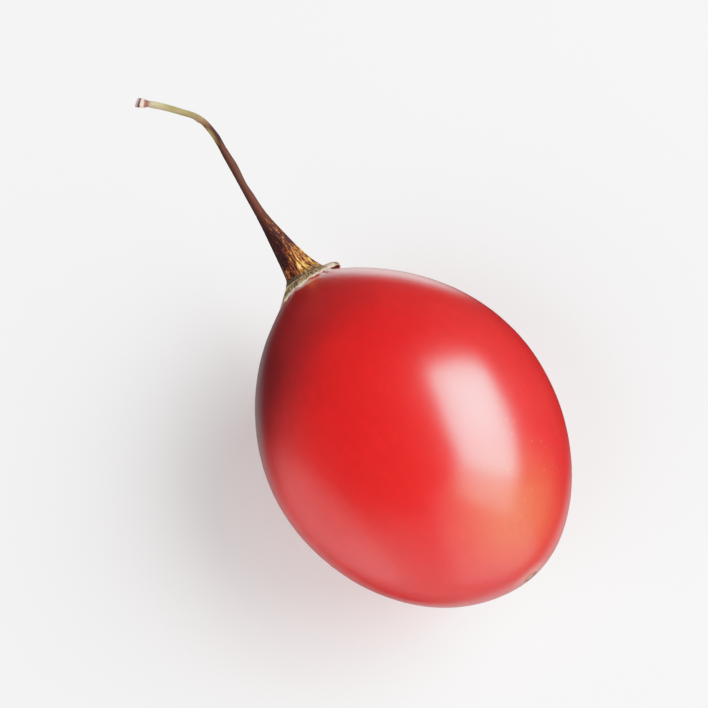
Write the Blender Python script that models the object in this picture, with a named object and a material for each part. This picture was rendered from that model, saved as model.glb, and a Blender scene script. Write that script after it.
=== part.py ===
"""A tamarillo as picked, lying on its side.

The fruit's long axis runs along X with the blossom end at +X and the stem at -X. It rests on a
small flat spot whose centre is the origin, and +Z is up. Sizes are in metres.
"""

import math

import bmesh
import bpy
from mathutils import Vector

# Driving dimensions of the fruit
HALF_WIDTH = 0.02443        # widest radius, at x = 0
BLOSSOM_HALF = 0.03105      # from the widest ring to the blossom tip
STEM_HALF = 0.03241         # from the widest ring to the tip of the shoulder
BLOSSOM_FULLNESS = 0.525    # 0.5 is an ellipse, more is more pointed
STEM_FULLNESS = 0.705
END_LEAN = 0.0012           # both tips lean this far towards +Y
LEAN_POWER = 6
REST_DEPTH = 0.0005         # how far the flat spot is pressed into the round belly
AXIS_HEIGHT = HALF_WIDTH - REST_DEPTH

# The collar under the stem
GAP = 0.0003                # between touching pieces
COLLAR_RADIUS = 0.0050
COLLAR_UNDERSIDE = (0.0016, 0.0033)     # radii of the rings that follow the skin under the collar
EDGE_SLOPE = 0.0001                     # the lobes' upper edge is this much narrower than the lower
SEAT_MARGIN = 0.0003                    # the seat is this much wider than the stem's foot
SEAT_SLOPE = 0.0002
LOBE_THICKNESS = 0.0005
LOBE_WIDTH = 24             # degrees
LOBES = ((5, 0.0011), (80, 0.0005), (150, 0.0006), (190, 0.0008), (245, 0.0004), (310, 0.0006))

# The stem: its foot's plane, then (x, y, height above the fruit's axis, radius) along its route
FOOT_CENTRE = Vector((-0.0331, 0.00125, AXIS_HEIGHT))
FOOT_DIRECTION = Vector((-0.975, 0.04, 0.21)).normalized()
FOOT_RADIUS = 0.0036
ANKLE_REACH = 0.0008        # the tube stays straight for this far above its foot
ANKLE_RADIUS = 0.0032
FOOT_HANDLE = 0.0003
STEM_ROUTE = (
    (-0.0356, 0.00115, 0.0007, 0.00270),
    (-0.0381, 0.0010, 0.0014, 0.00210),
    (-0.0406, 0.0009, 0.0021, 0.00165),
    (-0.0454, 0.0008, 0.0033, 0.00103),
    (-0.0499, 0.0010, 0.0041, 0.00078),
    (-0.0575, 0.0016, 0.0052, 0.00067),
    (-0.0626, 0.0017, 0.0058, 0.00062),
    (-0.0654, 0.0012, 0.0060, 0.00066),
    (-0.0680, -0.0005, 0.0062, 0.00064),
    (-0.0719, -0.0042, 0.0064, 0.00064),
    (-0.0725, -0.0049, 0.0064, 0.00068),
    (-0.0731, -0.0056, 0.0064, 0.00087),
)

PROFILE_STEPS = 34
RING_STEPS = 56
MERGE_DISTANCE = 0.00002
SLOPE_STEP = 0.0002         # step for measuring how steep the shoulder is
SHARP_ANGLE = math.radians(40)


def clear_scene():
    for old in list(bpy.data.objects):
        bpy.data.objects.remove(old, do_unlink=True)


def finish(name, colour, roughness):
    """A Principled material in the piece's own colour."""
    material = bpy.data.materials.new(name)
    material.use_nodes = True
    shader = material.node_tree.nodes["Principled BSDF"]
    shader.inputs["Base Color"].default_value = (*colour, 1.0)
    shader.inputs["Roughness"].default_value = roughness
    shader.inputs["Metallic"].default_value = 0.0
    return material


def add_mesh(name, shape, material):
    bmesh.ops.recalc_face_normals(shape, faces=shape.faces)
    mesh = bpy.data.meshes.new(name)
    shape.to_mesh(mesh)
    shape.free()
    mesh.shade_smooth()
    mesh.set_sharp_from_angle(angle=SHARP_ANGLE)
    piece = bpy.data.objects.new(name, mesh)
    piece.data.materials.append(material)
    bpy.context.scene.collection.objects.link(piece)
    return piece


def fruit_radius(x):
    """Radius of the ring at x along the fruit's axis."""
    half = BLOSSOM_HALF if x > 0 else STEM_HALF
    fullness = BLOSSOM_FULLNESS if x > 0 else STEM_FULLNESS
    return HALF_WIDTH * max(0.0, 1 - (x / half) ** 2) ** fullness


def lean(x):
    """How far the ring at x has moved towards +Y."""
    half = BLOSSOM_HALF if x > 0 else STEM_HALF
    return END_LEAN * min(1.0, abs(x) / half) ** LEAN_POWER


def shoulder_x(radius):
    """Where the stem end's skin has this radius: the inverse of fruit_radius."""
    return -STEM_HALF * math.sqrt(1 - (radius / HALF_WIDTH) ** (1 / STEM_FULLNESS))


def on_shoulder(radius, angle, lift):
    """A point at this height above the shoulder's skin, at this angle from +Y about the axis."""
    inner, outer = max(0.0, radius - SLOPE_STEP), radius + SLOPE_STEP
    along = (shoulder_x(outer) - shoulder_x(inner)) / (2 * SLOPE_STEP)
    outward = Vector((-1.0, along)).normalized()    # the skin's normal, as (x, radius)
    x = shoulder_x(radius)
    ring = radius + lift * outward.y
    side = lean(x)
    return Vector((
        x + lift * outward.x,
        side + ring * math.cos(angle),
        AXIS_HEIGHT + ring * math.sin(angle),
    ))


def make_fruit():
    """The profile is spun about X, both tips are leaned, and the belly is cut flat for its rest."""
    shape = bmesh.new()
    profile = []
    for step in range(PROFILE_STEPS + 1):
        turn = math.pi * step / PROFILE_STEPS
        half = STEM_HALF if turn < math.pi / 2 else BLOSSOM_HALF
        x = -half * math.cos(turn)
        profile.append(shape.verts.new((x, fruit_radius(x), 0.0)))
    edges = [shape.edges.new(pair) for pair in zip(profile, profile[1:])]
    bmesh.ops.spin(shape, geom=profile + edges, cent=(0, 0, 0), axis=(1, 0, 0),
                   angle=math.tau, steps=RING_STEPS, use_merge=True)
    bmesh.ops.remove_doubles(shape, verts=shape.verts, dist=MERGE_DISTANCE)
    for vert in shape.verts:
        vert.co.y += lean(vert.co.x)
    cut = bmesh.ops.bisect_plane(
        shape, geom=shape.verts[:] + shape.edges[:] + shape.faces[:],
        plane_co=(0, 0, -AXIS_HEIGHT), plane_no=(0, 0, -1), clear_outer=True)
    rim = [part for part in cut["geom_cut"] if isinstance(part, bmesh.types.BMEdge)]
    bmesh.ops.edgeloop_fill(shape, edges=rim)
    fruit = add_mesh("fruit", shape, finish("ripe_skin", (0.62, 0.03, 0.03), 0.3))
    fruit.location.z = AXIS_HEIGHT
    return fruit


def collar_radius(angle):
    """The collar's outer edge, with its dried lobes."""
    radius = COLLAR_RADIUS
    for middle, reach in LOBES:
        apart = (math.degrees(angle) - middle + 180) % 360 - 180
        radius += reach * math.exp(-(apart / LOBE_WIDTH) ** 2)
    return radius


def on_foot(radius, angle, back):
    """A point in the plane of the stem's foot, set back towards the fruit."""
    side = FOOT_DIRECTION.cross((0, 0, 1)).normalized()
    up = side.cross(FOOT_DIRECTION)
    spoke = side * math.cos(angle) + up * math.sin(angle)
    return FOOT_CENTRE + spoke * radius - FOOT_DIRECTION * back


def make_calyx():
    """The dried calyx: a lobed disc on the shoulder that rises to a flat seat for the stem."""
    shape = bmesh.new()
    angles = [math.tau * step / RING_STEPS for step in range(RING_STEPS)]
    rings = [[on_shoulder(radius, angle, GAP) for angle in angles] for radius in COLLAR_UNDERSIDE]
    edge = GAP + LOBE_THICKNESS
    rings.append([on_shoulder(collar_radius(angle), angle, GAP) for angle in angles])
    rings.append([on_shoulder(collar_radius(angle) - EDGE_SLOPE, angle, edge) for angle in angles])
    rings.append([on_foot(FOOT_RADIUS + SEAT_MARGIN, angle, GAP + SEAT_SLOPE) for angle in angles])
    rings.append([on_foot(FOOT_RADIUS, angle, GAP) for angle in angles])
    loops = [[shape.verts.new(point) for point in ring] for ring in rings]
    for lower, upper in zip(loops, loops[1:]):
        for k in range(RING_STEPS):
            after = (k + 1) % RING_STEPS
            shape.faces.new((lower[k], lower[after], upper[after], upper[k]))
    shape.faces.new(loops[0])
    shape.faces.new(loops[-1])
    return add_mesh("calyx", shape, finish("dry_calyx", (0.36, 0.28, 0.16), 0.8))


def make_stem():
    """The stem is one tapering tube that flares at its foot and at the joint it was picked from."""
    route = bpy.data.curves.new("stem", "CURVE")
    route.dimensions = "3D"
    route.bevel_depth = 1.0         # each point's radius then is the real radius
    route.bevel_resolution = 4
    route.resolution_u = 4
    route.use_fill_caps = True
    ankle = FOOT_CENTRE + FOOT_DIRECTION * ANKLE_REACH
    points = [(*FOOT_CENTRE, FOOT_RADIUS), (*ankle, ANKLE_RADIUS)]
    points += [(x, y, AXIS_HEIGHT + rise, radius) for x, y, rise, radius in STEM_ROUTE]
    spline = route.splines.new("BEZIER")
    spline.bezier_points.add(len(points) - 1)
    spline.radius_interpolation = "CARDINAL"
    for knot, (x, y, z, radius) in zip(spline.bezier_points, points):
        knot.co = (x, y, z)
        knot.radius = radius
        knot.handle_left_type = "AUTO"
        knot.handle_right_type = "AUTO"
    first = spline.bezier_points[0]
    first.handle_left_type = "FREE"
    first.handle_right_type = "FREE"
    first.handle_left = FOOT_CENTRE - FOOT_DIRECTION * FOOT_HANDLE
    first.handle_right = FOOT_CENTRE + FOOT_DIRECTION * FOOT_HANDLE
    stem = bpy.data.objects.new("stem", route)
    stem.data.materials.append(finish("dry_stem", (0.21, 0.09, 0.045), 0.7))
    bpy.context.scene.collection.objects.link(stem)
    return stem


clear_scene()
make_fruit()
make_calyx()
make_stem()
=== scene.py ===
# %% [markdown]
# # A tamarillo lying on its side
#
# A tamarillo is a tree tomato: an egg of tight, waxy skin on a long stem. Picked with its stem it
# has three separate pieces. The fruit is one closed thing, the calyx is a dried collar with a few
# papery lobes, and the stem is a fibrous stalk that ends in the joint where it let go of the tree.
#
# The design model already says how big each piece is and where it lies. This script keeps those
# sizes and gives each piece its real surface: relief in the mesh, and colour and gloss in nodes.

# %% Load the design model
import math

import bmesh
import bpy
import numpy as np
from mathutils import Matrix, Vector, noise


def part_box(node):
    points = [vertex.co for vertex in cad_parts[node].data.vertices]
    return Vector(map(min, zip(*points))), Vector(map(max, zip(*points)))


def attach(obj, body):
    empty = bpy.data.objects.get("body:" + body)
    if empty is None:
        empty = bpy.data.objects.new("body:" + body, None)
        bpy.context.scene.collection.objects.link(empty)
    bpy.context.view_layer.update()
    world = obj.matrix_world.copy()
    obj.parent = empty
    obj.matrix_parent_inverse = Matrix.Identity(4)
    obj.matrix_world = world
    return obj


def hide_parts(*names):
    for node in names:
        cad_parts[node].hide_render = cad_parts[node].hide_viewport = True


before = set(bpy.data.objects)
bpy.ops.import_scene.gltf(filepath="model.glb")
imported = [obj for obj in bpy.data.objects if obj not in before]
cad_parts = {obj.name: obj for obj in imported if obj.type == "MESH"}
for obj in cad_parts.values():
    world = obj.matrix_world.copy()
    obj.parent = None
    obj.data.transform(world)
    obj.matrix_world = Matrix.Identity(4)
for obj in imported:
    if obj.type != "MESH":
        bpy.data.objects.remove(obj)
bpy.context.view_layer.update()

fruit_low, fruit_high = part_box("fruit")
print("pieces of the design model:", sorted(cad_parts))

# %% [markdown]
# ## The fruit's own measures
#
# The fruit is nearly a body of revolution about the X axis, so a few numbers say all of it: how far
# each tip is from the widest ring, and the radius of that ring. All three are read off the fruit's
# box. Its belly is pressed flat where it rests, so its axis is found from the top, not from the
# middle of the box. A power of the usual ellipse formula then makes an end blunter or more pointed.

# %% Measures of the fruit
MM = 0.001
HALF_WIDTH = (fruit_high.y - fruit_low.y) / 2
BLOSSOM_HALF = fruit_high.x
STEM_HALF = -fruit_low.x
AXIS_HEIGHT = fruit_high.z - HALF_WIDTH
BLOSSOM_FULLNESS = 0.525
STEM_FULLNESS = 0.705
END_LEAN = 1.2 * MM
LEAN_POWER = 6
print(f"fruit {(BLOSSOM_HALF + STEM_HALF) / MM:.1f} mm long, {2 * HALF_WIDTH / MM:.1f} mm wide")


def fruit_radius(x):
    half, fullness = (BLOSSOM_HALF, BLOSSOM_FULLNESS) if x > 0 else (STEM_HALF, STEM_FULLNESS)
    return HALF_WIDTH * max(0.0, 1 - (x / half) ** 2) ** fullness


def lean(x):
    half = BLOSSOM_HALF if x > 0 else STEM_HALF
    return END_LEAN * min(1.0, abs(x) / half) ** LEAN_POWER


def shoulder_x(radius):
    return -STEM_HALF * math.sqrt(1 - (radius / HALF_WIDTH) ** (1 / STEM_FULLNESS))


# %% [markdown]
# ## The camera
#
# The camera looks steeply down on the fruit from its blossom end, with the fruit's axis running
# down to the lower right. A long lens far away keeps the egg from swelling towards the viewer.
# Its target is beside the fruit's middle, so that fruit and stem together fill the square frame.

# %% Camera
CAMERA_AZIMUTH = math.radians(55.85)
CAMERA_ELEVATION = math.radians(70)
CAMERA_DISTANCE = 438 * MM
LENS = 135
TARGET_LEFT = 9.2 * MM
TARGET_ABOVE = 13.4 * MM
right = Vector((math.cos(CAMERA_AZIMUTH), math.sin(CAMERA_AZIMUTH), 0))
ahead = Vector((-math.sin(CAMERA_AZIMUTH), math.cos(CAMERA_AZIMUTH), 0))
towards = Vector((0, 0, 1)) * math.sin(CAMERA_ELEVATION) - ahead * math.cos(CAMERA_ELEVATION)
above = towards.cross(right)
target = Vector((0, 0, AXIS_HEIGHT)) - right * TARGET_LEFT + above * TARGET_ABOVE

camera_data = bpy.data.cameras.new("camera")
camera_data.lens = LENS
camera_data.clip_start = 10 * MM
camera = bpy.data.objects.new("camera", camera_data)
camera.location = target + towards * CAMERA_DISTANCE
camera.rotation_euler = towards.to_track_quat("Z", "Y").to_euler()
bpy.context.scene.collection.objects.link(camera)
bpy.context.scene.camera = camera
print("camera at", tuple(round(v, 3) for v in camera.location))

# %% [markdown]
# ## Small helpers
#
# Operators work on whatever is selected, so each new piece starts from an empty selection. A mesh
# that is shaped by a formula is read into an array, moved all at once and written back.

# %% Helpers for meshes


def start_piece():
    """Leaves object mode with nothing selected, ready for a primitive."""
    if bpy.context.object and bpy.context.object.mode == "EDIT":
        bpy.ops.object.mode_set(mode="OBJECT")
    bpy.ops.object.select_all(action="DESELECT")


def name_piece(name):
    """Names the primitive that was just added, and its mesh."""
    piece = bpy.context.object
    piece.name = piece.data.name = name
    return piece


def read_points(piece):
    points = np.empty(len(piece.data.vertices) * 3)
    piece.data.vertices.foreach_get("co", points)
    return points.reshape(-1, 3)


def write_points(piece, points):
    piece.data.vertices.foreach_set("co", np.asarray(points).ravel())
    piece.data.update()


def report(piece):
    low, high = read_points(piece).min(0) / MM, read_points(piece).max(0) / MM
    print(f"{piece.name}: {len(piece.data.polygons)} faces, mm {low.round(1)} to {high.round(1)}")


def smoothstep(value, low, high):
    t = np.clip((value - low) / (high - low), 0, 1)
    return t * t * (3 - 2 * t)


def wander(points, size, seed):
    """Smooth noise from -1 to 1 at each point, with swells of about this size."""
    shift = Vector((seed * 7.3, seed * 3.1, seed * 5.7))
    return np.array([noise.noise(Vector(p) / size + shift) for p in points])


# %% [markdown]
# ## The fruit
#
# The skin could start from a sphere, but a sphere's rings would have to be pulled into an egg. A
# half outline spun about the long axis is the egg at once, as on a lathe. The outline is a chain of
# points made by extruding a single vertex. Its points lie close together at both ends, where the
# skin puckers round the calyx and where the flower has left its scar.

# %% Outline of the fruit
OUTLINE_STEPS = 150
TIP_CROWDING = 0.11


def outline():
    """Points from the stem tip to the blossom tip, closest together near the tips."""
    points = []
    for step in range(OUTLINE_STEPS + 1):
        t = step / OUTLINE_STEPS
        turn = math.pi * (t - TIP_CROWDING * math.sin(math.tau * t))
        half = STEM_HALF if turn < math.pi / 2 else BLOSSOM_HALF
        x = -half * math.cos(turn)
        points.append(Vector((x, fruit_radius(x), 0)))
    return points


start_piece()
profile = outline()
bpy.ops.mesh.primitive_plane_add(size=MM, location=(0, 0, 0))
fruit = name_piece("fruit_skin")
bpy.ops.object.mode_set(mode="EDIT")
# the plane merged to its centre is the single vertex to start from
bpy.ops.mesh.merge(type="CENTER")
bpy.ops.transform.translate(value=profile[0])
for before, after in zip(profile, profile[1:]):
    bpy.ops.mesh.extrude_region_move(TRANSFORM_OT_translate={"value": after - before})
print("outline:", len(profile), "points")

# %% Spin the outline
SPIN_STEPS = 288
bpy.ops.mesh.select_all(action="SELECT")
bpy.ops.mesh.spin(steps=SPIN_STEPS, angle=math.tau, center=(0, 0, 0), axis=(1, 0, 0))
bpy.ops.mesh.select_all(action="SELECT")
bpy.ops.mesh.remove_doubles(threshold=0.001 * MM)
bpy.ops.mesh.normals_make_consistent(inside=False)
bpy.ops.object.mode_set(mode="OBJECT")
bpy.ops.object.shade_smooth()
report(fruit)

# %% [markdown]
# ### Relief of the skin
#
# Real skin is never quite a turned shape. It swells a little here and there, it puckers into short
# folds round the calyx, with one lip that stands up, and at the other end the flower has left a
# dish with a raised ring. Each of these is a height along the skin's normal, so that it catches
# light and changes the outline too.

# %% Heights on the skin
SCAR = Vector((BLOSSOM_HALF, 2.35 * MM, AXIS_HEIGHT + 0.75 * MM))
SCAR_RADIUS = 1.15 * MM
CALYX_RADIUS = 5.0 * MM
# how high the skin swells, and over what distance
BROAD_SWELL, BROAD_SIZE = 0.16 * MM, 17 * MM
SMALL_SWELL, SMALL_SIZE = 0.035 * MM, 6 * MM
# folds: their height, how far past the calyx they reach, their length and how close they stand
FOLD_HEIGHT, FOLD_REACH, FOLD_LENGTH, FOLDS_AROUND = 0.34 * MM, 6 * MM, 9 * MM, 3.2
# lip: its height and how much that varies, how far it is from the calyx, and its width
LIP_HEIGHT, LIP_UNEVEN, LIP_AWAY, LIP_WIDTH = 0.16 * MM, 0.18 * MM, 0.9 * MM, 0.7 * MM
RING_HEIGHT, RING_WIDTH, DISH_DEPTH = 0.13 * MM, 0.28 * MM, 0.12 * MM


def skin_heights(points, radius, angle):
    """Height of the relief at each point, in metres."""
    stem_end = points[:, 0] < 0
    height = BROAD_SWELL * wander(points, BROAD_SIZE, 1)
    height += SMALL_SWELL * wander(points, SMALL_SIZE, 2)
    # folds round the calyx, which run outwards and die away
    spokes = np.stack([np.cos(angle) * FOLDS_AROUND, np.sin(angle) * FOLDS_AROUND,
                       radius / FOLD_LENGTH], 1)
    folds = wander(spokes, 1.0, 3) + 0.5 * wander(spokes * np.array([2.4, 2.4, 1]), 1.0, 4)
    near = stem_end * (1 - smoothstep(radius, CALYX_RADIUS, CALYX_RADIUS + FOLD_REACH))
    height += FOLD_HEIGHT * folds * near ** 2
    # a lip of skin that stands up against the calyx
    lip = np.exp(-((radius - CALYX_RADIUS - LIP_AWAY) / LIP_WIDTH) ** 2) * stem_end
    height += lip * (LIP_HEIGHT + LIP_UNEVEN * wander(spokes * 1.6, 1.0, 5))
    # the flower's scar: a dish inside a raised ring
    from_scar = np.linalg.norm(points - np.array(SCAR), axis=1)
    uneven_radius = SCAR_RADIUS * (1 + 0.12 * wander(points, 0.9 * MM, 6))
    ring = np.exp(-((from_scar - uneven_radius) / RING_WIDTH) ** 2)
    dish = 1 - smoothstep(from_scar, 0.3 * uneven_radius, uneven_radius)
    height += RING_HEIGHT * ring - DISH_DEPTH * dish
    return height


points = read_points(fruit)
radius = np.hypot(points[:, 1], points[:, 2])
angle = np.arctan2(points[:, 2], points[:, 1])
normals = np.empty(len(points) * 3)
fruit.data.vertex_normals.foreach_get("vector", normals)
normals = normals.reshape(-1, 3)
points[:, 1] += [lean(x) for x in points[:, 0]]
points[:, 2] += AXIS_HEIGHT
points += normals * skin_heights(points, radius, angle)[:, None]
points[:, 2] = np.maximum(points[:, 2], 0)
write_points(fruit, points)
report(fruit)

# %% [markdown]
# ## Helpers for finishes
#
# Colours are picked as sRGB hex values, as on a paint card, while the nodes reckon in linear light.
# One function turns one into the other, and one adds a node with its settings and its links. The
# size of each pattern is given in real millimetres, as the spacing of its lumps or specks.

# %% Colour and node helpers


def paint(code):
    """An opaque linear colour from an sRGB hex code."""
    parts = [int(code[k:k + 2], 16) / 255 for k in (1, 3, 5)]
    return (*[p / 12.92 if p <= 0.04045 else ((p + 0.055) / 1.055) ** 2.4 for p in parts], 1.0)


def add(tree, kind, inputs=None, **settings):
    """Adds a node: its settings first, then each input as a value or as a link from a socket."""
    made = tree.nodes.new(kind)
    for key, value in settings.items():
        setattr(made, key, value)
    for key, value in (inputs or {}).items():
        if isinstance(value, bpy.types.NodeSocket):
            tree.links.new(value, made.inputs[key])
        else:
            made.inputs[key].default_value = value
    return made


def spaced(millimetres):
    """The scale of a pattern whose lumps or cells are this far apart."""
    return 1 / (millimetres * MM)


def new_finish(name):
    finish = bpy.data.materials.new(name)
    finish.use_nodes = True
    finish.node_tree.nodes.clear()
    return finish, finish.node_tree


# %% [markdown]
# ## Waxy fruit skin
#
# The skin is a cuticle of plant wax over coloured cells. It isn't polished, so a window's
# reflection in it keeps its shape but has soft edges: two soft gloss layers, the skin's own and a
# coat over it, give that. Wax has an index of refraction near 1.45, and 1.55 gives this tight fresh
# skin its stronger shine. Under the wax the red is uneven: an orange blush near the blossom end,
# faint streaks from end to end and golden pores. The wine-dark patches round the stem are partly
# the skin's own colour and partly painted shade on the side the lamps miss. The pale patches round
# the calyx are partly scuffs and partly a painted highlight.

# %% Fruit finish: ground colour
skin, tree = new_finish("waxy_red_skin")
place = add(tree, "ShaderNodeTexCoord").outputs["Object"]

# red, with a slightly deeper red in drifts
drift = add(tree, "ShaderNodeTexNoise", {"Vector": place, "Scale": spaced(16.67), "Detail": 3.0})
base = add(tree, "ShaderNodeMix", {"Factor": drift.outputs["Fac"], "A": paint("#E2191D"),
                                   "B": paint("#EA2420")}, data_type="RGBA")

# %% Fruit finish: stains and painted shade
# the drifts also shift each place by up to a few millimetres, so that the blush and the painted
# shade have uneven rims
STAIN_AND_SHADE_SHIFT = 6 * MM
ragged = add(tree, "ShaderNodeVectorMath", {0: drift.outputs["Color"], 1: (STAIN_AND_SHADE_SHIFT,) * 3,
                                            2: place}, operation="MULTIPLY_ADD").outputs[0]


def stain_and_shade(under, centre, reach, core, strength, code):
    """Lays a round patch over a colour, used for the blush and for painted shade: full within core
    millimetres, gone past reach.
    """
    middle = Vector(centre) * MM + Vector((0, 0, AXIS_HEIGHT))
    away = add(tree, "ShaderNodeVectorMath", {0: ragged, 1: tuple(middle)}, operation="DISTANCE")
    amount = add(tree, "ShaderNodeMapRange", {
        "Value": away.outputs["Value"], "From Min": reach * MM, "From Max": core * MM,
        "To Max": strength}, interpolation_type="SMOOTHSTEP")
    return add(tree, "ShaderNodeMix", {"Factor": amount.outputs[0], "A": under,
                                       "B": paint(code)}, data_type="RGBA").outputs["Result"]


# wine-dark patches, partly the skin's own colour and partly painted shade where the lamps miss:
# one low on the stem end's flank, a fainter one over its shoulder
colour = stain_and_shade(base.outputs["Result"], (-21, -19, 9), 27, 8, 0.93, "#6E0C16")
colour = stain_and_shade(colour, (-20, 0, 17), 14, 4, 0.42, "#A01218")
# orange blush near the blossom end
colour = stain_and_shade(colour, (24.2, 6.0, 15.2), 14, 1, 0.38, "#EC8C52")

# %% Fruit finish: streaks and mottling
STREAK_STRETCH = 0.12
mottle = add(tree, "ShaderNodeTexNoise", {"Vector": place, "Scale": spaced(2.381), "Detail": 4.0})
long_way = add(tree, "ShaderNodeMapping", {"Vector": place, "Scale": (STREAK_STRETCH, 1.0, 1.0)})
streak = add(tree, "ShaderNodeTexNoise", {"Vector": long_way.outputs[0],
                                          "Scale": spaced(1.111), "Detail": 3.0})
fine = add(tree, "ShaderNodeMath", {0: streak.outputs["Fac"], 1: mottle.outputs["Fac"]},
           operation="MULTIPLY")
tone = add(tree, "ShaderNodeMapRange", {"Value": fine.outputs[0], "From Min": 0.1,
                                        "From Max": 0.42, "To Min": 0.93, "To Max": 1.05})
toned = add(tree, "ShaderNodeVectorMath", {0: colour, "Scale": tone.outputs[0]},
            operation="SCALE")

# %% Fruit finish: scuffs and painted sheen
# pale torn streaks of dried skin just outside the calyx, partly a painted highlight where the
# skin's lip and folds catch the window
SCUFF_AND_SHEEN_CENTRE = (-32.4 * MM, 1.2 * MM, AXIS_HEIGHT)
scuff_and_sheen_near = add(tree, "ShaderNodeVectorMath", {0: place, 1: SCUFF_AND_SHEEN_CENTRE}, operation="DISTANCE")
scuff_and_sheen_zone = add(tree, "ShaderNodeMapRange", {"Value": scuff_and_sheen_near.outputs["Value"],
                                              "From Min": 11.5 * MM, "From Max": 8.2 * MM})
scuff_and_sheen_grain = add(tree, "ShaderNodeTexNoise", {"Vector": place, "Scale": spaced(2.778),
                                               "Detail": 5.0})
scuff_and_sheen_part = add(tree, "ShaderNodeMath", {0: scuff_and_sheen_grain.outputs["Fac"],
                                          1: scuff_and_sheen_zone.outputs[0]}, operation="MULTIPLY")
scuff_and_sheen = add(tree, "ShaderNodeMapRange", {"Value": scuff_and_sheen_part.outputs[0], "From Min": 0.48,
                                         "From Max": 0.54, "To Max": 0.65})
scuffed_and_sheened = add(tree, "ShaderNodeMix", {"Factor": scuff_and_sheen.outputs[0], "A": toned.outputs[0],
                                      "B": paint("#F0C9CC")}, data_type="RGBA")

# %% Fruit finish: pores
# Specks about 0.25 mm wide in cells 1.43 mm apart. Each speck covers the part of its cell that is
# nearest the cell's point.
pores = add(tree, "ShaderNodeTexVoronoi", {"Vector": place, "Scale": spaced(1.4286)})
pore_size = add(tree, "ShaderNodeMapRange", {"Value": pores.outputs["Distance"], "From Min": 0.16,
                                             "From Max": 0.06})
# they show most on the flank beside the blush
PORES_CENTRE = (19 * MM, 12 * MM, AXIS_HEIGHT + 14 * MM)
pores_at = add(tree, "ShaderNodeVectorMath", {0: place, 1: PORES_CENTRE}, operation="DISTANCE")
pores_show = add(tree, "ShaderNodeMapRange", {"Value": pores_at.outputs["Value"],
                                              "From Min": 14 * MM, "From Max": 3 * MM,
                                              "To Min": 0.07, "To Max": 0.55})
pore = add(tree, "ShaderNodeMath", {0: pore_size.outputs[0], 1: pores_show.outputs[0]},
           operation="MULTIPLY")
speckled = add(tree, "ShaderNodeMix", {"Factor": pore.outputs[0], "A": scuffed_and_sheened.outputs["Result"],
                                       "B": paint("#F2A050")}, data_type="RGBA")

# %% Fruit finish: scar
# a brown ring round a pale dish, in a halo of paler skin
scar_at = add(tree, "ShaderNodeVectorMath", {0: place, 1: tuple(SCAR)}, operation="DISTANCE")
halo = add(tree, "ShaderNodeMapRange", {"Value": scar_at.outputs["Value"], "From Min": 4.5 * MM,
                                        "From Max": 1.2 * MM, "To Max": 0.55},
           interpolation_type="SMOOTHSTEP")
haloed = add(tree, "ShaderNodeMix", {"Factor": halo.outputs[0], "A": speckled.outputs["Result"],
                                     "B": paint("#E58F80")}, data_type="RGBA")
ring = add(tree, "ShaderNodeMapRange", {"Value": scar_at.outputs["Value"],
                                        "From Min": SCAR_RADIUS + 0.35 * MM,
                                        "From Max": SCAR_RADIUS, "To Max": 0.9})
ringed = add(tree, "ShaderNodeMix", {"Factor": ring.outputs[0], "A": haloed.outputs["Result"],
                                     "B": paint("#6A4436")}, data_type="RGBA")
dish = add(tree, "ShaderNodeMapRange", {"Value": scar_at.outputs["Value"],
                                        "From Min": SCAR_RADIUS - 0.2 * MM,
                                        "From Max": SCAR_RADIUS - 0.6 * MM})
dished = add(tree, "ShaderNodeMix", {"Factor": dish.outputs[0], "A": ringed.outputs["Result"],
                                     "B": paint("#C4A092")}, data_type="RGBA")

# %% Fruit finish: wax
grain = add(tree, "ShaderNodeBump", {"Height": mottle.outputs["Fac"], "Strength": 0.05,
                                     "Distance": 0.2 * MM})
shader = add(tree, "ShaderNodeBsdfPrincipled", {
    "Base Color": dished.outputs["Result"], "Roughness": 0.28, "IOR": 1.55,
    "Specular IOR Level": 1.0, "Coat Weight": 0.8, "Coat Roughness": 0.26,
    "Normal": grain.outputs[0], "Coat Normal": grain.outputs[0]})
add(tree, "ShaderNodeOutputMaterial", {"Surface": shader.outputs[0]})
fruit.data.materials.append(skin)
print("waxy_red_skin:", len(tree.nodes), "nodes")

# %% [markdown]
# ## The calyx
#
# The calyx once held the flower. Dry, it is a collar of papery tissue that rises from the skin to
# the stem's foot, with ribs down its sides and torn lobes along its edge. A circle extruded ring by
# ring gives the collar a clean grid of faces. Each ring is then laid on a curve from the foot down
# to the skin, and Solidify turns the sheet into a shell. One lobe has dried away from the skin, so
# it bulges and its edge stands off.

# %% Where the calyx and the stem meet
FOOT_CENTRE = Vector((-33.1 * MM, 1.25 * MM, AXIS_HEIGHT))
FOOT_DIRECTION = Vector((-0.975, 0.04, 0.21)).normalized()
FOOT_RADIUS = 3.6 * MM
# each lobe is its place round the stem in degrees and its reach in millimetres
LOBES = ((25, 1.25), (80, 0.8), (120, 0.9), (160, 1.0), (190, 0.7), (245, 0.4), (310, 0.6))
LOBE_WIDTH = 24
LIFTED_LOBE = 25
LIFTED_WIDTH = 21.21


def on_shoulder(radius, angle, lift):
    """A point at this height above the skin near the stem, at this angle from +Y."""
    step = 0.2 * MM
    slope = (shoulder_x(radius + step) - shoulder_x(max(0.0, radius - step))) / (2 * step)
    outward = Vector((-1.0, slope)).normalized()
    x = shoulder_x(radius)
    lifted = radius + lift * outward.y
    return Vector((x + lift * outward.x, lean(x) + lifted * math.cos(angle),
                   AXIS_HEIGHT + lifted * math.sin(angle)))


def on_foot(radius, angle, back):
    """A point in the plane of the stem's foot, set back towards the fruit."""
    side = FOOT_DIRECTION.cross((0, 0, 1)).normalized()
    up = side.cross(FOOT_DIRECTION)
    spoke = side * math.cos(angle) + up * math.sin(angle)
    return FOOT_CENTRE + spoke * radius - FOOT_DIRECTION * back


def lobe_share(angle, middle, width):
    """One in the middle of a lobe, falling away to nothing beside it."""
    apart = (math.degrees(angle) - middle + 180) % 360 - 180
    return math.exp(-(apart / width) ** 2)


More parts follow.
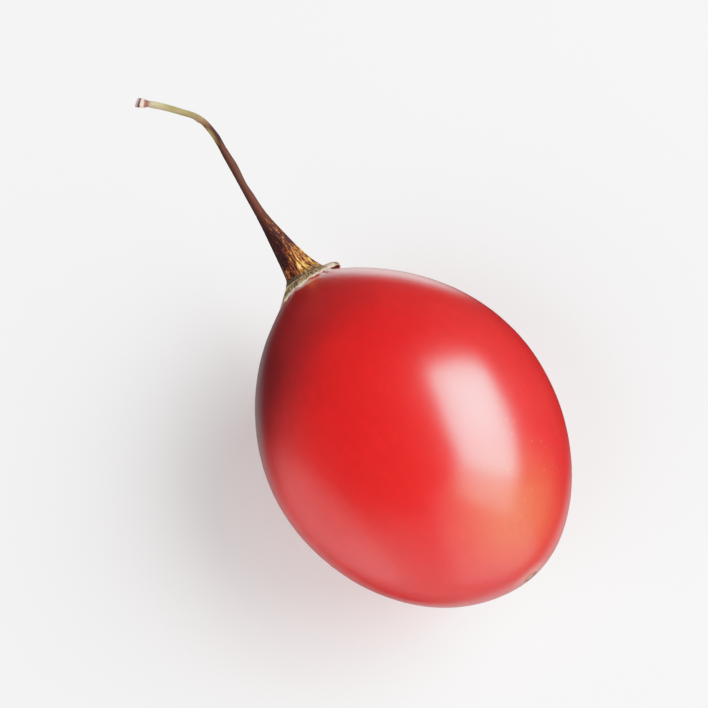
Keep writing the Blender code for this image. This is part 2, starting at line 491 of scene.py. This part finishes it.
def collar_edge(angle):
    """Radius of the torn edge: seven dried lobes, frayed by fine noise."""
    radius = CALYX_RADIUS
    for middle, reach in LOBES:
        radius += reach * MM * lobe_share(angle, middle, LOBE_WIDTH)
    frayed = noise.noise(Vector((math.cos(angle), math.sin(angle), 0.3)) * 7)
    torn = noise.noise(Vector((math.cos(angle), math.sin(angle), 0.9)) * 22)
    thread = noise.noise(Vector((math.cos(angle), math.sin(angle), 0.7)) * 45)
    return radius + (0.3 * frayed + 0.3 * torn + 0.22 * thread) * MM


# %% Collar of the calyx
COLLAR_AROUND = 360
COLLAR_ROWS = 18
TUCKED_ROWS = 3
COLLAR_START = 2.4 * MM
ROW_GROWTH = 1.06
start_piece()
bpy.ops.mesh.primitive_circle_add(vertices=COLLAR_AROUND, radius=COLLAR_START,
                                  fill_type="NOTHING")
calyx = name_piece("calyx_collar")
bpy.ops.object.mode_set(mode="EDIT")
bpy.ops.mesh.select_all(action="SELECT")
for row in range(COLLAR_ROWS):
    bpy.ops.mesh.extrude_region_move()
    bpy.ops.transform.resize(value=(ROW_GROWTH, ROW_GROWTH, 1.0))
bpy.ops.object.mode_set(mode="OBJECT")
print("collar:", COLLAR_ROWS, "rows of", COLLAR_AROUND, "faces")

# %% Section of the collar
WAIST_LIFT, LIFTED_WAIST = 0.75 * MM, 1.0 * MM
HEM_LIFT, LIFTED_HEM = 0.14 * MM, 0.65 * MM
RIB_HEIGHT = 0.12


def collar_point(row, angle):
    """The collar's section: in under the foot, down its side, then out along the skin."""
    if row < TUCKED_ROWS:
        return on_foot(COLLAR_START + 0.4 * MM * row, angle, 0.12 * MM)
    t = (row - TUCKED_ROWS) / (COLLAR_ROWS - TUCKED_ROWS)
    edge = collar_edge(angle)
    rim = on_foot(FOOT_RADIUS + 0.1 * MM, angle, 0.1 * MM)
    lobe = lobe_share(angle, LIFTED_LOBE, LIFTED_WIDTH)
    middle = 0.5 * (FOOT_RADIUS + edge) + 0.1 * MM
    waist = on_shoulder(middle + (edge - middle) * lobe, angle, WAIST_LIFT + LIFTED_WAIST * lobe)
    hem = on_shoulder(edge, angle, HEM_LIFT + LIFTED_HEM * lobe)
    # the three points steer a curve, and ribs stand out from it and fade towards the hem
    point = rim * (1 - t) ** 2 + waist * 2 * t * (1 - t) + hem * t ** 2
    rib = noise.noise(Vector((math.cos(angle), math.sin(angle), 0.1 * t)) * 16)
    rib += 0.6 * noise.noise(Vector((math.cos(angle), math.sin(angle), 0.05 * t)) * 41)
    rib *= RIB_HEIGHT * (1 + 2 * lobe) * math.sin(math.pi * min(1.0, t + 0.15))
    outward = on_shoulder(edge, angle, MM) - on_shoulder(edge, angle, 0)
    return point + outward * rib


points = read_points(calyx)
start_radius = np.hypot(points[:, 0], points[:, 1])
rows = np.rint(np.log(start_radius / COLLAR_START) / math.log(ROW_GROWTH)).astype(int)
angles = np.arctan2(points[:, 1], points[:, 0])
write_points(calyx, [collar_point(row, angle) for row, angle in zip(rows, angles)])
# where each point is: how far down the collar, and which way round
draped = np.stack([rows / COLLAR_ROWS, np.cos(angles), np.sin(angles)], 1)
drape_values = calyx.data.attributes.new("drape", "FLOAT_VECTOR", "POINT")
drape_values.data.foreach_set("vector", draped.ravel())

# %% Shell of the collar
SHELL_THICKNESS = 0.16 * MM
bpy.ops.object.mode_set(mode="EDIT")
bpy.ops.mesh.select_all(action="SELECT")
bpy.ops.mesh.normals_make_consistent(inside=False)
bpy.ops.object.mode_set(mode="OBJECT")
shell = calyx.modifiers.new("shell", "SOLIDIFY")
shell.thickness = SHELL_THICKNESS
shell.offset = -1
bpy.ops.object.modifier_apply(modifier=shell.name)
bpy.ops.object.shade_smooth_by_angle(angle=math.radians(50))
report(calyx)

# %% [markdown]
# ## Dry calyx
#
# Dried plant tissue is matte and tan, with dark veins between the ribs and a bleached edge where it
# has torn. Its fibres run from the stem down to the lobes, so their pattern reads the attribute
# that says how far down and round the collar a point is. The patches of tan are 0.7 mm apart.

# %% Calyx finish
husk, tree = new_finish("dry_calyx")
drape = add(tree, "ShaderNodeAttribute", attribute_name="drape").outputs["Vector"]
down = add(tree, "ShaderNodeSeparateXYZ", {"Vector": drape}).outputs["X"]
place = add(tree, "ShaderNodeTexCoord").outputs["Object"]
# fibres 0.3 mm apart round the collar's edge, and about three times as long
FIBRE_STRETCH = 0.25
FIBRE_SCALE = 17.0
ribbed = add(tree, "ShaderNodeVectorMath", {0: drape, 1: (FIBRE_STRETCH, 1.0, 1.0)},
             operation="MULTIPLY")
fibre = add(tree, "ShaderNodeTexNoise", {"Vector": ribbed.outputs[0], "Scale": FIBRE_SCALE,
                                         "Detail": 5.0, "Roughness": 0.65})
patch = add(tree, "ShaderNodeTexNoise", {"Vector": place, "Scale": spaced(0.7143),
                                         "Detail": 4.0})
tan = add(tree, "ShaderNodeMix", {"Factor": patch.outputs["Fac"], "A": paint("#8C6A44"),
                                  "B": paint("#E6C496")}, data_type="RGBA")
vein = add(tree, "ShaderNodeMapRange", {"Value": fibre.outputs["Fac"], "From Min": 0.55,
                                        "From Max": 0.47, "To Max": 0.85})
veined = add(tree, "ShaderNodeMix", {"Factor": vein.outputs[0], "A": tan.outputs["Result"],
                                     "B": paint("#46382A")}, data_type="RGBA")

# %% Calyx finish: edges
# bleached, torn hem, and a thin pale line where the collar tucks in under the stem
torn = add(tree, "ShaderNodeMath", {0: patch.outputs["Fac"], 1: 0.3, 2: down},
           operation="MULTIPLY_ADD")
hem = add(tree, "ShaderNodeMapRange", {"Value": torn.outputs[0], "From Min": 0.9, "From Max": 1.06})
hemmed = add(tree, "ShaderNodeMix", {"Factor": hem.outputs[0], "A": veined.outputs["Result"],
                                     "B": paint("#F0E0C4")}, data_type="RGBA")
tuck = add(tree, "ShaderNodeMapRange", {"Value": down, "From Min": 0.3, "From Max": 0.2,
                                        "To Max": 0.7})
tucked = add(tree, "ShaderNodeMix", {"Factor": tuck.outputs[0], "A": hemmed.outputs["Result"],
                                     "B": paint("#E6D6AC")}, data_type="RGBA")
# the lifted lobe is cream, and browned near its tip
BROWNED_ROW = 16
BROWNED_ANGLE = math.radians(LIFTED_LOBE + 6)
LOBE_TIP = collar_point(BROWNED_ROW, BROWNED_ANGLE)
tip_at = add(tree, "ShaderNodeVectorMath", {0: place, 1: tuple(LOBE_TIP)}, operation="DISTANCE")
pale = add(tree, "ShaderNodeMapRange", {"Value": tip_at.outputs["Value"], "From Min": 2.6 * MM,
                                        "From Max": 1.8 * MM, "To Max": 0.6})
paled = add(tree, "ShaderNodeMix", {"Factor": pale.outputs[0], "A": tucked.outputs["Result"],
                                    "B": paint("#F0D8C6")}, data_type="RGBA")
brown = add(tree, "ShaderNodeMapRange", {"Value": tip_at.outputs["Value"],
                                         "From Min": 0.8 * MM, "From Max": 0.3 * MM,
                                         "To Max": 0.85})
browned = add(tree, "ShaderNodeMix", {"Factor": brown.outputs[0], "A": paled.outputs["Result"],
                                      "B": paint("#5A4030")}, data_type="RGBA")
crease = add(tree, "ShaderNodeBump", {"Height": fibre.outputs["Fac"], "Strength": 0.7,
                                      "Distance": 0.1 * MM})
shader = add(tree, "ShaderNodeBsdfPrincipled", {"Base Color": browned.outputs["Result"],
                                                "Roughness": 0.8, "IOR": 1.3,
                                                "Normal": crease.outputs[0]})
add(tree, "ShaderNodeOutputMaterial", {"Surface": shader.outputs[0]})
calyx.data.materials.append(husk)
print("dry_calyx:", len(tree.nodes), "nodes")

# %% [markdown]
# ## The stem
#
# The stem is a bundle of fibres, so it is made straight first, where its ridges are easy to run
# lengthwise. A cylinder is cut into many rings, each ring gets the stem's radius at its place, and
# fine ridges are pressed in. An attribute remembers where each point was on the straight stem, and
# the finish uses it, so that its fibres follow every bend. Then a Curve modifier lays it along its
# route.

# %% Route of the stem
# Each point is a place, its height counted from the fruit's axis, and the stem's radius there, all
# in millimetres. The route starts with two points on the foot, which are worked out below.
STEM_ROUTE = (
    (-35.6, 1.15, 0.7, 2.47),
    (-38.1, 1.0, 1.4, 2.00),
    (-40.6, 0.9, 2.1, 1.58),
    (-45.4, 0.8, 3.3, 0.94),
    (-49.9, 1.0, 4.1, 0.75),
    (-57.5, 1.6, 5.2, 0.66),
    (-62.6, 1.8, 5.8, 0.60),
    (-65.3, 1.2, 6.0, 0.56),
    (-67.8, -0.6, 6.2, 0.56),
    (-71.9, -4.2, 6.4, 0.64),
    (-72.8, -5.2, 6.4, 0.68),
    (-73.6, -6.1, 6.4, 0.87),
)
FLARE_LENGTH = 0.8 * MM
FLARE_RADIUS = 3.05 * MM
knots = [(FOOT_CENTRE, FOOT_RADIUS), (FOOT_CENTRE + FOOT_DIRECTION * FLARE_LENGTH, FLARE_RADIUS)]
for x, y, z, half_width in STEM_ROUTE:
    knots.append((Vector((x, y, z)) * MM + Vector((0, 0, AXIS_HEIGHT)), half_width * MM))

path_data = bpy.data.curves.new("stem_path", "CURVE")
path_data.dimensions = "3D"
path_data.resolution_u = 24
spline = path_data.splines.new("BEZIER")
spline.bezier_points.add(len(knots) - 1)
for knot, (at, _) in zip(spline.bezier_points, knots):
    knot.co = at
    knot.handle_left_type = knot.handle_right_type = "AUTO"
first = spline.bezier_points[0]
first.handle_left_type = first.handle_right_type = "FREE"
HANDLE = FOOT_DIRECTION * 0.3 * MM
first.handle_left = FOOT_CENTRE - HANDLE
first.handle_right = FOOT_CENTRE + HANDLE
path = bpy.data.objects.new("stem_path", path_data)
bpy.context.scene.collection.objects.link(path)
STEM_LENGTH = spline.calc_length()
print(f"stem {STEM_LENGTH / MM:.1f} mm long")

# %% Radius along the stem
chords = [(after - before).length for (before, _), (after, _) in zip(knots, knots[1:])]
knot_along = np.cumsum([0.0] + chords)
knot_along *= STEM_LENGTH / knot_along[-1]
knot_radii = np.array([radius for _, radius in knots])


def stem_radius(along):
    """A smooth curve through the radii at the knots."""
    slopes = np.gradient(knot_radii, knot_along)
    k = np.clip(np.searchsorted(knot_along, along) - 1, 0, len(knot_along) - 2)
    span = knot_along[k + 1] - knot_along[k]
    t = np.clip((along - knot_along[k]) / span, 0, 1)
    ease = smoothstep(t, 0, 1)
    radius = (1 - ease) * knot_radii[k] + ease * knot_radii[k + 1]
    return radius + t * (1 - t) * span * ((1 - t) * slopes[k] - t * slopes[k + 1])


# %% Straight stem
STEM_AROUND = 72
STEM_CUTS = 100
start_piece()
bpy.ops.mesh.primitive_cylinder_add(vertices=STEM_AROUND, radius=FOOT_RADIUS, depth=STEM_LENGTH,
                                    location=(STEM_LENGTH / 2, 0, 0),
                                    rotation=(0, math.pi / 2, 0), end_fill_type="NGON")
stem = name_piece("stem_stalk")
bpy.ops.object.transform_apply(location=True, rotation=True, scale=True)
bpy.ops.object.mode_set(mode="EDIT")
bpy.ops.mesh.select_all(action="DESELECT")
# only the edges that run from end to end are cut, and 100 cuts are the most that one call makes
mesh = bmesh.from_edit_mesh(stem.data)
for edge in mesh.edges:
    edge.select = abs(edge.verts[0].co.x - edge.verts[1].co.x) > STEM_LENGTH / 2
bmesh.update_edit_mesh(stem.data)
bpy.ops.mesh.subdivide(number_cuts=STEM_CUTS)
bpy.ops.object.mode_set(mode="OBJECT")
report(stem)

# %% Ridges and knuckles of the stem
# Each knuckle is its place along the stem in millimetres, its side in degrees from the local +Y
# towards +Z, and then its half length and how far it swells or sinks, in millimetres.
KNUCKLES = ((32.8, 20, 0.5, 0.14), (28.2, 200, 0.8, 0.05), (22.5, 200, 1.6, 0.12),
            (18.5, 200, 1.5, -0.1), (26.2, 20, 1.0, -0.06), (43.0, 90, 0.5, -0.1))
points = read_points(stem)
along = points[:, 0].copy()
turn = np.arctan2(points[:, 2], points[:, 1])
RIDGE_LENGTH = 26 * MM
LUMP_LENGTH = 3.5 * MM
lengthwise = np.stack([along / RIDGE_LENGTH, np.cos(turn), np.sin(turn)], 1)
ridges = wander(lengthwise * np.array([1, 5, 5]), 1.0, 7)
fibres = wander(lengthwise * np.array([2, 13, 13]), 1.0, 8)
lumps = wander(np.stack([along / LUMP_LENGTH, np.cos(turn), np.sin(turn)], 1), 1.0, 9)
width = stem_radius(along)
foot = 1 - smoothstep(along, 1 * MM, 16 * MM)
width = width * (1 + (0.035 + 0.05 * foot) * ridges + (0.015 + 0.05 * foot) * fibres
                 + 0.04 * lumps)
for at, bearing, half_length, swell in KNUCKLES:
    near = np.exp(-((along - at * MM) / (half_length * MM)) ** 2)
    width += swell * MM * near * (1 + np.cos(turn - math.radians(bearing))) / 2

# %% Joint at the end of the stem
# a narrow neck, a knob with a groove round it, and a flared rim
KNOB_RADIUS = 0.86 * MM
SLANT = 0.22 * MM
# neck, groove and rim: each one's distance from the end, half length and rise, in millimetres
END_RINGS = ((2.1, 0.4, -0.1), (0.7, 0.16, -0.13), (0.2, 0.2, 0.06))
to_end = STEM_LENGTH - along
knob = smoothstep(-to_end, -2.0 * MM, -1.4 * MM)
width = width * (1 - knob) + KNOB_RADIUS * knob * (1 + 0.06 * lumps)
for from_tip, half_length, rise in END_RINGS:
    width += rise * MM * np.exp(-((to_end - from_tip * MM) / (half_length * MM)) ** 2)
# it let go at a slant, so one side of the rim stands back
points[:, 0] -= SLANT * (1 - np.cos(turn)) * smoothstep(-to_end, -1.4 * MM, -0.1 * MM)
points[:, 1] = width * np.cos(turn)
points[:, 2] = width * np.sin(turn)
write_points(stem, points)

# %% Bend the stem along its route
unbent = np.stack([along, points[:, 1], points[:, 2]], 1)
straight_values = stem.data.attributes.new("straight", "FLOAT_VECTOR", "POINT")
straight_values.data.foreach_set("vector", unbent.ravel())
bend = stem.modifiers.new("bend", "CURVE")
bend.object = path
bend.deform_axis = "POS_X"
bpy.ops.object.modifier_apply(modifier=bend.name)
bpy.data.objects.remove(path)
bpy.ops.object.shade_smooth_by_angle(angle=math.radians(45))
report(stem)

# %% [markdown]
# ## Dry stem
#
# Near the foot the bark has split into golden and rusty flecks between dark fibres. Higher up it is
# a smooth red-brown, and past the elbow it is still olive and cream. The end is the corky joint
# where it let go of the tree. Noise drawn out along the straight stem gives the fibres, and runs of
# colour over its length give the change from bark to cork. Each run comes as a lit copy and a copy
# with painted shade, laid on the two flanks.

# %% Stem finish
bark, tree = new_finish("dry_stem")
straight = add(tree, "ShaderNodeAttribute", attribute_name="straight").outputs["Vector"]
axes = add(tree, "ShaderNodeSeparateXYZ", {"Vector": straight})
across = add(tree, "ShaderNodeVectorMath", {0: straight, 1: (0.0, 1.0, 1.0)},
             operation="MULTIPLY")
around = add(tree, "ShaderNodeVectorMath", {0: across.outputs[0]}, operation="NORMALIZE")
facing = add(tree, "ShaderNodeSeparateXYZ", {"Vector": around.outputs[0]})


def grain_along(stretch, scale, detail):
    """Noise on the straight stem: the lower the stretch, the more it is drawn out lengthwise."""
    at = add(tree, "ShaderNodeVectorMath", {0: straight, 1: (stretch, 0.0, 0.0),
                                            2: around.outputs[0]}, operation="MULTIPLY_ADD")
    return add(tree, "ShaderNodeTexNoise", {"Vector": at.outputs[0], "Scale": scale,
                                            "Detail": detail, "Roughness": 0.7}).outputs["Fac"]


def lay_stops(ramp, stops):
    """Gives a colour ramp its stops, each a place from 0 to 1 and a colour."""
    colours = ramp.color_ramp.elements
    while len(colours) < len(stops):
        colours.new(0.5)
    for element, (at, code) in zip(colours, stops):
        element.position = at
        element.color = paint(code)


# painted shade: the bark is darker on the flank that was +Y on the straight stem
shade_side = add(tree, "ShaderNodeMapRange", {"Value": facing.outputs["Y"], "From Min": 0.0,
                                              "From Max": 0.85})
length = add(tree, "ShaderNodeMath", {0: axes.outputs["X"], 1: STEM_LENGTH}, operation="DIVIDE")
# at the foot, flecks are 0.8 mm long and 0.4 mm wide, and fibres 2.7 mm long and 0.24 mm wide
fleck = grain_along(150.0, 8.5, 6.0)
fibre = grain_along(25.0, 15.0, 3.0)

# %% Stem finish: split bark
# near the foot: dark fibres, then rust, gold and cream where it has opened, with painted shade
# that darkens the flecks on the +Y flank
fade = add(tree, "ShaderNodeMapRange", {"Value": axes.outputs["X"], "From Min": 2.5 * MM,
                                        "From Max": 6.5 * MM, "To Min": -0.01, "To Max": -0.13})
opened = add(tree, "ShaderNodeMath", {0: fleck, 1: fade.outputs[0]}, operation="ADD")
shaded = add(tree, "ShaderNodeMath", {0: shade_side.outputs[0], 1: -0.13, 2: opened.outputs[0]},
             operation="MULTIPLY_ADD")
threads = add(tree, "ShaderNodeMapRange", {"Value": fibre, "From Min": 0.35, "From Max": 0.6,
                                           "To Min": -0.1, "To Max": 0.07})
value = add(tree, "ShaderNodeMath", {0: shaded.outputs[0], 1: threads.outputs[0]}, operation="ADD")
split = add(tree, "ShaderNodeValToRGB", {"Fac": value.outputs[0]})
lay_stops(split, (
    (0.0, "#1E100E"), (0.38, "#36191A"), (0.43, "#62281A"), (0.47, "#8A3A1A"),
    (0.53, "#C98430"), (0.60, "#EAC468"), (0.72, "#FAE8B8")))

# %% Stem finish: whole bark
# painted light and shade: a lit copy and a shaded copy of the bark from the foot to the end, one
# for each flank; the shaded copy's pale olive patch before the elbow is a painted highlight
lit = add(tree, "ShaderNodeValToRGB", {"Fac": length.outputs[0]})
lay_stops(lit, (
    (0.0, "#5A4A38"), (0.15, "#64301E"), (0.3, "#643224"), (0.45, "#60382C"), (0.59, "#643A2A"),
    (0.63, "#3A2018"), (0.68, "#482A1E"), (0.71, "#8A6448"), (0.73, "#9E7E5E"), (0.78, "#9A8A58"),
    (0.82, "#AE9870"), (0.86, "#9A8C52"), (0.90, "#C2B48A"), (0.94, "#CDBD98")))
shade = add(tree, "ShaderNodeValToRGB", {"Fac": length.outputs[0]})
lay_stops(shade, (
    (0.0, "#4A3E34"), (0.08, "#33201E"), (0.2, "#38201F"), (0.4, "#4A2A28"), (0.6, "#42261F"),
    (0.63, "#8A7444"), (0.675, "#A6945E"), (0.7, "#6E4E34"), (0.74, "#967A5A"), (0.8, "#96845A"),
    (0.9, "#B4A47A"), (0.945, "#B8A084")))
whole = add(tree, "ShaderNodeMix", {"Factor": shade_side.outputs[0],
                                    "A": lit.outputs["Color"], "B": shade.outputs["Color"]},
            data_type="RGBA")
streaky = add(tree, "ShaderNodeMapRange", {"Value": fibre, "From Min": 0.3, "From Max": 0.7,
                                           "To Min": 0.78, "To Max": 1.2})
streaked = add(tree, "ShaderNodeVectorMath", {0: whole.outputs["Result"],
                                              "Scale": streaky.outputs[0]}, operation="SCALE")
healed = add(tree, "ShaderNodeMapRange", {"Value": axes.outputs["X"], "From Min": 8.5 * MM,
                                          "From Max": 14 * MM})
barked = add(tree, "ShaderNodeMix", {"Factor": healed.outputs[0],
                                     "A": split.outputs["Color"],
                                     "B": streaked.outputs[0]}, data_type="RGBA")
# a grey-brown ring where the foot meets the calyx
foot_ring = add(tree, "ShaderNodeMapRange", {"Value": axes.outputs["X"], "From Min": 1.0 * MM,
                                             "From Max": 0.4 * MM, "To Max": 0.6})
footed = add(tree, "ShaderNodeMix", {"Factor": foot_ring.outputs[0],
                                     "A": barked.outputs["Result"],
                                     "B": paint("#6C5E4A")}, data_type="RGBA")

# %% Stem finish: joint
# a brown neck, a bare peach knob, a dark groove and a grey scar over the end
JOINT_LENGTH = 3 * MM
from_end = add(tree, "ShaderNodeMath", {0: STEM_LENGTH, 1: axes.outputs["X"]},
               operation="SUBTRACT")
reach_end = add(tree, "ShaderNodeMath", {0: from_end.outputs[0], 1: JOINT_LENGTH},
                operation="DIVIDE")
joint = add(tree, "ShaderNodeValToRGB", {"Fac": reach_end.outputs[0]})
lay_stops(joint, (
    (0.0, "#C6B2B4"), (0.1, "#A88E94"), (0.17, "#6A4E50"), (0.22, "#4A3230"), (0.27, "#8A6458"),
    (0.33, "#FBDCC8"), (0.46, "#F6D2BC"), (0.55, "#94625A"), (0.7, "#8A5C50"), (0.9, "#BEA886")))
near_end = add(tree, "ShaderNodeMapRange", {"Value": reach_end.outputs[0], "From Min": 1.0,
                                            "From Max": 0.8})
jointed = add(tree, "ShaderNodeMix", {"Factor": near_end.outputs[0],
                                      "A": footed.outputs["Result"],
                                      "B": joint.outputs["Color"]}, data_type="RGBA")

# %% Stem finish: surface
pitted = add(tree, "ShaderNodeMapRange", {"Value": fleck, "From Min": 0.35, "From Max": 0.6,
                                          "To Min": 0.82, "To Max": 1.06})
weathered = add(tree, "ShaderNodeVectorMath", {0: jointed.outputs["Result"],
                                               "Scale": pitted.outputs[0]}, operation="SCALE")
crease = add(tree, "ShaderNodeBump", {"Height": value.outputs[0], "Strength": 0.6,
                                      "Distance": 0.15 * MM})
shader = add(tree, "ShaderNodeBsdfPrincipled", {"Base Color": weathered.outputs[0],
                                                "Roughness": 0.6, "IOR": 1.35,
                                                "Normal": crease.outputs[0]})
add(tree, "ShaderNodeOutputMaterial", {"Surface": shader.outputs[0]})
stem.data.materials.append(bark)
print("dry_stem:", len(tree.nodes), "nodes")

# %% [markdown]
# ## Floor
#
# The fruit lies on a plain white sheet. A plane is enough, and it is hidden from reflections, so
# that the skin mirrors the studio's own walls, which are easier to place than a bright floor.

# %% Floor
FLOOR_SIZE = 6.0
start_piece()
bpy.ops.mesh.primitive_plane_add(size=FLOOR_SIZE, location=(0, 0, 0))
floor = name_piece("floor")
sheet, tree = new_finish("white_sheet")
shader = add(tree, "ShaderNodeBsdfPrincipled", {"Base Color": paint("#FAFAFA"), "Roughness": 0.9,
                                                "Specular IOR Level": 0.0})
add(tree, "ShaderNodeOutputMaterial", {"Surface": shader.outputs[0]})
floor.data.materials.append(sheet)
floor.visible_glossy = False
print(f"floor {FLOOR_SIZE:.0f} m square")

# %% [markdown]
# ## Light
#
# What a glossy skin shows is mostly the lamps' shapes. A window softbox behind the fruit to the
# right draws the tall highlight. It is three rectangles, one close behind another: the main one, a
# small core that brightens its middle, and a weak flank towards the blossom end, where the
# highlight fades out. A dim wall beyond the blossom end gives that end its faint shine. Two fills
# only lift the shaded left and the side towards the viewer. They are left out of reflections, so
# that they draw no highlights of their own.

# %% Softboxes


def direction(azimuth, elevation):
    """The direction at this many degrees round from +X and up from the floor."""
    azimuth, elevation = math.radians(azimuth), math.radians(elevation)
    return Vector((math.cos(azimuth) * math.cos(elevation),
                   math.sin(azimuth) * math.cos(elevation), math.sin(elevation)))


def softbox(name, away, centre, width, height, radiance):
    """A rectangle of light, in metres, that faces the fruit with its width level."""
    data = bpy.data.lights.new(name, "AREA")
    data.shape = "RECTANGLE"
    data.size = width
    data.size_y = height
    data.energy = radiance * math.pi * width * height
    lamp = bpy.data.objects.new(name, data)
    lamp.location = Vector((0, 0, AXIS_HEIGHT)) + centre
    lamp.rotation_euler = away.to_track_quat("Z", "Y").to_euler()
    bpy.context.scene.collection.objects.link(lamp)
    print(f"{name}: {width} x {height} m, radiance {radiance}")
    return lamp


# %% Window
WINDOW = direction(74, 45)
WINDOW_SIDE = Vector((0, 0, 1)).cross(WINDOW).normalized()
WINDOW_UP = WINDOW.cross(WINDOW_SIDE)
# each part of the window: its name, how far it is to the side, up and back, its size and radiance
WINDOW_PARTS = (
    ("window_core", 0.1, -0.03, 1.0, 0.5, 0.5, 1.2),
    ("window_main", -0.05, 0.02, 1.01, 1.1, 0.88, 4.9),
    ("window_flank", -0.95, 0.1, 1.02, 0.7, 1.1, 1.3),
)
for name, aside, up, back, width, height, radiance in WINDOW_PARTS:
    centre = WINDOW * back + WINDOW_SIDE * aside + WINDOW_UP * up
    softbox(name, WINDOW, centre, width, height, radiance)

# %% Side wall and fills
SIDE_WALL = direction(3, 8)
FILL_DISTANCE = 1.5
FILL_SIZE = 1.2
FILLS = (("fill_left", direction(-85, 42), 3.6), ("fill_front", direction(-30, 40), 1.2))
softbox("side_wall", SIDE_WALL, SIDE_WALL, 1.2, 1.9, 0.34)
for name, away, radiance in FILLS:
    fill = softbox(name, away, away * FILL_DISTANCE, FILL_SIZE, FILL_SIZE, radiance)
    fill.visible_glossy = False
    fill.data.cycles.use_multiple_importance_sampling = False

# %% [markdown]
# ### Studio walls
#
# The rest of the studio is nearly dark, apart from round patches of pale wall and sheet that the
# skin mirrors: broad dim ones lift its lower and left flanks, and small ones beyond its rim edge it
# with a thin pale line. They are painted on the world, by direction, so they cost no geometry. The
# camera itself sees a plain bright backdrop.

# %% World
STUDIO_DIM = 0.005
BACKDROP = 0.92
studio = bpy.data.worlds.new("studio")
studio.use_nodes = True
tree = studio.node_tree
tree.nodes.clear()
looking = add(tree, "ShaderNodeTexCoord").outputs["Generated"]


def glow(centre, edge, core, strength):
    """A round patch of the studio that is bright within core degrees and gone past edge."""
    facing = add(tree, "ShaderNodeVectorMath", {0: looking, 1: tuple(centre)},
                 operation="DOT_PRODUCT")
    return add(tree, "ShaderNodeMapRange", {
        "Value": facing.outputs["Value"], "From Min": math.cos(math.radians(edge)),
        "From Max": math.cos(math.radians(core)), "To Max": strength},
        interpolation_type="SMOOTHSTEP").outputs[0]


def beyond_rim(away, round_from_right):
    """A direction this far from the one the camera looks in, towards a side of the frame."""
    away, turned = math.radians(away), math.radians(round_from_right)
    tip = right * math.cos(turned) + above * math.sin(turned)
    return tip * math.sin(away) - towards * math.cos(away)


GLOWS = (
    glow(direction(-28, -16), 58, 34, 0.21),   # pale wall on the viewer's side
    glow(direction(-88, -30), 38, 14, 0.34),   # pale wall at the fruit's left
    glow(beyond_rim(26, 88), 15, 5, 1.3),      # sheet behind its top edge
    glow(beyond_rim(18, 208), 27, 9, 0.24),    # sheet by its left edge
    glow(beyond_rim(30, 310), 26, 14, 0.45),   # sheet by its lower right edge
)
light = STUDIO_DIM
for patch in GLOWS:
    light = add(tree, "ShaderNodeMath", {0: light, 1: patch}, operation="ADD").outputs[0]
seen = add(tree, "ShaderNodeLightPath").outputs["Is Camera Ray"]
shown = add(tree, "ShaderNodeMix", {"Factor": seen, "A": light, "B": BACKDROP})
background = add(tree, "ShaderNodeBackground", {"Color": shown.outputs[0], "Strength": 1.0})
add(tree, "ShaderNodeOutputWorld", {"Surface": background.outputs[0]})
bpy.context.scene.world = studio
print("studio:", len(GLOWS), "glowing patches")

# %% [markdown]
# ### Film response
#
# A strong highlight on a red skin would clip to flat white. Film rolls bright light off slowly,
# which keeps the highlight pink and soft. Each point of its shoulder is a light level and the
# level it is rolled off to, and below the first point the curve is nearly straight.

# %% Film response
FILM_WHITE = 2.2
FILM_SHOULDER = ((0.6, 0.58), (0.8, 0.70), (1.0, 0.80), (1.2, 0.875), (1.6, 0.94))
view = bpy.context.scene.view_settings
view.view_transform = "Standard"
view.use_curve_mapping = True
view.curve_mapping.white_level = (FILM_WHITE,) * 3
combined = view.curve_mapping.curves[3]
for light_in, light_out in FILM_SHOULDER:
    combined.points.new(light_in / FILM_WHITE, light_out)
view.curve_mapping.update()
print("film curve:", len(combined.points), "points")

# %% [markdown]
# ## Hand over
#
# Each piece rides on the only body and stands for its solid in the design model, which is hidden.

# %% Ride and replace
for piece, node, slot in ((fruit, "fruit", "ripe_skin"), (calyx, "calyx", "dry_calyx"),
                          (stem, "stem", "dry_stem")):
    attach(piece, "root")
    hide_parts(node)
